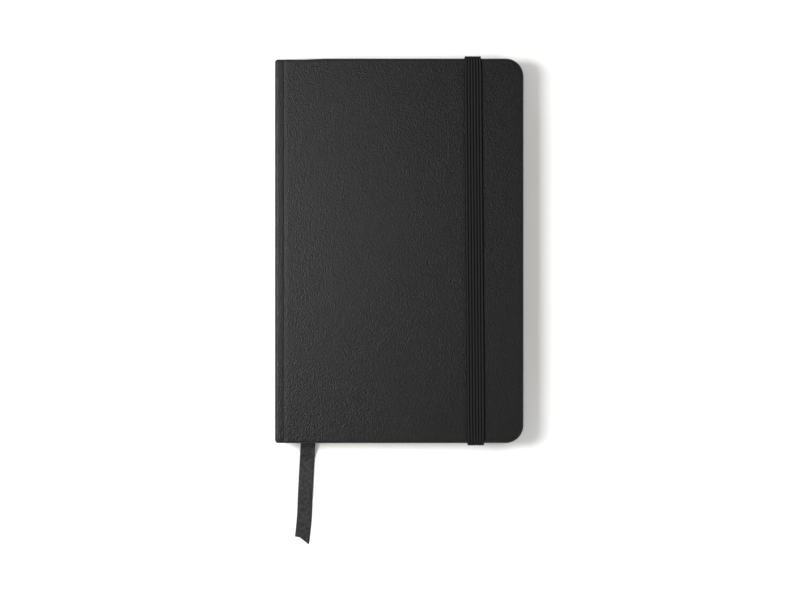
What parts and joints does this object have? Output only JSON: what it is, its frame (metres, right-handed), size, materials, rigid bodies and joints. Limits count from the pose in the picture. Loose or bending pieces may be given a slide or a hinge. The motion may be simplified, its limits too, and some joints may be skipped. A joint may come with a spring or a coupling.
{
  "type": "pocket notebook",
  "caption": "Closed pocket notebook with a hard cover, rounded fore-edge corners, sewn leaves, vertical elastic closure, ribbon and inner pocket.",
  "frame": {"origin": "middle of the closed notebook's footprint, on the outer face of the back cover, ribbon tail left out", "axes": "+Z from the back cover up to the front cover, +Y to the head, +X to the fore-edge; the spine is at -X"},
  "size_m": [0.0904, 0.1778, 0.0149],
  "materials": {
    "cover_skin": "matte black leatherette with a fine grain",
    "grey_board": "grey binder's board",
    "endpaper": "matte ivory endpaper",
    "leaves": "matte ivory ruled paper",
    "pocket_card": "matte ivory card",
    "pocket_cloth": "ivory bookcloth",
    "kraft_lining": "brown kraft paper",
    "mull": "open-weave mull cloth",
    "thread": "white linen thread",
    "ribbon": "charcoal satin ribbon",
    "elastic": "black ribbed woven elastic"
  },
  "bodies": {
    "back_cover": {"back_board": "grey_board", "back_cover_skin": "cover_skin", "back_pastedown": "endpaper", "bookmark_ribbon": "ribbon", "ribbon_tail": "ribbon", "back_hinge_skin": "cover_skin"},
    "spine": {"spine_skin": "cover_skin", "spine_strip": "grey_board", "spine_lining": "kraft_lining", "spine_mull": "mull", "sewing_thread": "thread"},
    "front_cover": {"front_board": "grey_board", "front_cover_skin": "cover_skin", "front_pastedown": "endpaper", "front_hinge_skin": "cover_skin"},
    "back_flyleaf": {"back_flyleaf": "endpaper"},
    "front_flyleaf": {"front_flyleaf": "endpaper"},
    "section_01": {"section_01": "leaves"},
    "section_02": {"section_02": "leaves"},
    "section_03": {"section_03": "leaves"},
    "section_04": {"section_04": "leaves"},
    "section_05": {"section_05": "leaves"},
    "section_06": {"section_06": "leaves"},
    "section_07": {"section_07": "leaves"},
    "section_08": {"section_08": "leaves"},
    "section_09": {"section_09": "leaves"},
    "section_10": {"section_10": "leaves"},
    "elastic": {"elastic_band": "elastic"},
    "pocket": {"pocket_panel": "pocket_card", "pocket_head_gusset": "pocket_cloth", "pocket_tail_gusset": "pocket_cloth"}
  },
  "joints": [
    {"name": "spine_hinge", "type": "hinge", "parent": "back_cover", "child": "spine", "pos_m": [-0.04405, 0, 0.0012], "axis": [0, -1, 0], "range_deg": [0, 90], "deforming": ["back_hinge_skin"]},
    {"name": "front_cover_hinge", "type": "hinge", "parent": "spine", "child": "front_cover", "pos_m": [-0.04405, 0, 0.01287], "axis": [0, -1, 0], "range_deg": [0, 90], "deforming": ["front_hinge_skin"]},
    {"name": "back_flyleaf_fold", "type": "hinge", "parent": "spine", "child": "back_flyleaf", "pos_m": [-0.04285, 0, 0.00331], "axis": [0, -1, 0], "range_deg": [-54.5, 0]},
    {"name": "section_01_fold", "type": "hinge", "parent": "spine", "child": "section_01", "pos_m": [-0.04285, 0, 0.00381], "axis": [0, -1, 0], "range_deg": [-44.5, 0]},
    {"name": "section_02_fold", "type": "hinge", "parent": "spine", "child": "section_02", "pos_m": [-0.04285, 0, 0.00461], "axis": [0, -1, 0], "range_deg": [-31.8, 0]},
    {"name": "section_03_fold", "type": "hinge", "parent": "spine", "child": "section_03", "pos_m": [-0.04285, 0, 0.00541], "axis": [0, -1, 0], "range_deg": [-19.2, 0]},
    {"name": "section_04_fold", "type": "hinge", "parent": "spine", "child": "section_04", "pos_m": [-0.04285, 0, 0.00621], "axis": [0, -1, 0], "range_deg": [-6.5, 0]},
    {"name": "section_05_fold", "type": "hinge", "parent": "spine", "child": "section_05", "pos_m": [-0.04285, 0, 0.00701], "axis": [0, -1, 0], "range_deg": [0, 7.2]},
    {"name": "section_06_fold", "type": "hinge", "parent": "spine", "child": "section_06", "pos_m": [-0.04285, 0, 0.00781], "axis": [0, -1, 0], "range_deg": [0, 19.8]},
    {"name": "section_07_fold", "type": "hinge", "parent": "spine", "child": "section_07", "pos_m": [-0.04285, 0, 0.00861], "axis": [0, -1, 0], "range_deg": [0, 32.5]},
    {"name": "section_08_fold", "type": "hinge", "parent": "spine", "child": "section_08", "pos_m": [-0.04285, 0, 0.00941], "axis": [0, -1, 0], "range_deg": [0, 45.2]},
    {"name": "section_09_fold", "type": "hinge", "parent": "spine", "child": "section_09", "pos_m": [-0.04285, 0, 0.01021], "axis": [0, -1, 0], "range_deg": [0, 57.8]},
    {"name": "section_10_fold", "type": "hinge", "parent": "spine", "child": "section_10", "pos_m": [-0.04285, 0, 0.01101], "axis": [0, -1, 0], "range_deg": [0, 70.5]},
    {"name": "front_flyleaf_fold", "type": "hinge", "parent": "spine", "child": "front_flyleaf", "pos_m": [-0.04315, 0, 0.0115], "axis": [0, -1, 0], "range_deg": [0, 82.5]},
    {"name": "pocket_hinge", "type": "hinge", "parent": "back_cover", "child": "pocket", "pos_m": [0.03875, 0, 0.00285], "axis": [0, 1, 0], "range_deg": [0, 8.5], "deforming": ["pocket_head_gusset", "pocket_tail_gusset"]},
    {"name": "elastic_release", "type": "slide", "parent": "back_cover", "child": "elastic", "axis": [0, 0, -1], "range_m": [0, 0.0151], "deforming": ["elastic_band"]}
  ],
  "couplings": [
    {"joint": "front_cover_hinge", "follows": "spine_hinge", "ratio": 1},
    {"joint": "back_flyleaf_fold", "follows": "spine_hinge", "ratio": -0.6},
    {"joint": "section_01_fold", "follows": "spine_hinge", "ratio": -0.4889},
    {"joint": "section_02_fold", "follows": "spine_hinge", "ratio": -0.3481},
    {"joint": "section_03_fold", "follows": "spine_hinge", "ratio": -0.2074},
    {"joint": "section_04_fold", "follows": "spine_hinge", "ratio": -0.0667},
    {"joint": "section_05_fold", "follows": "spine_hinge", "ratio": 0.0741},
    {"joint": "section_06_fold", "follows": "spine_hinge", "ratio": 0.2148},
    {"joint": "section_07_fold", "follows": "spine_hinge", "ratio": 0.3556},
    {"joint": "section_08_fold", "follows": "spine_hinge", "ratio": 0.4963},
    {"joint": "section_09_fold", "follows": "spine_hinge", "ratio": 0.637},
    {"joint": "section_10_fold", "follows": "spine_hinge", "ratio": 0.7778},
    {"joint": "front_flyleaf_fold", "follows": "spine_hinge", "ratio": 0.9111},
    {"joint": "pocket_hinge", "follows": "spine_hinge", "ratio": 0.0889},
    {"joint": "elastic_release", "follows": "spine_hinge", "m_per_rad": 0.00949}
  ]
}
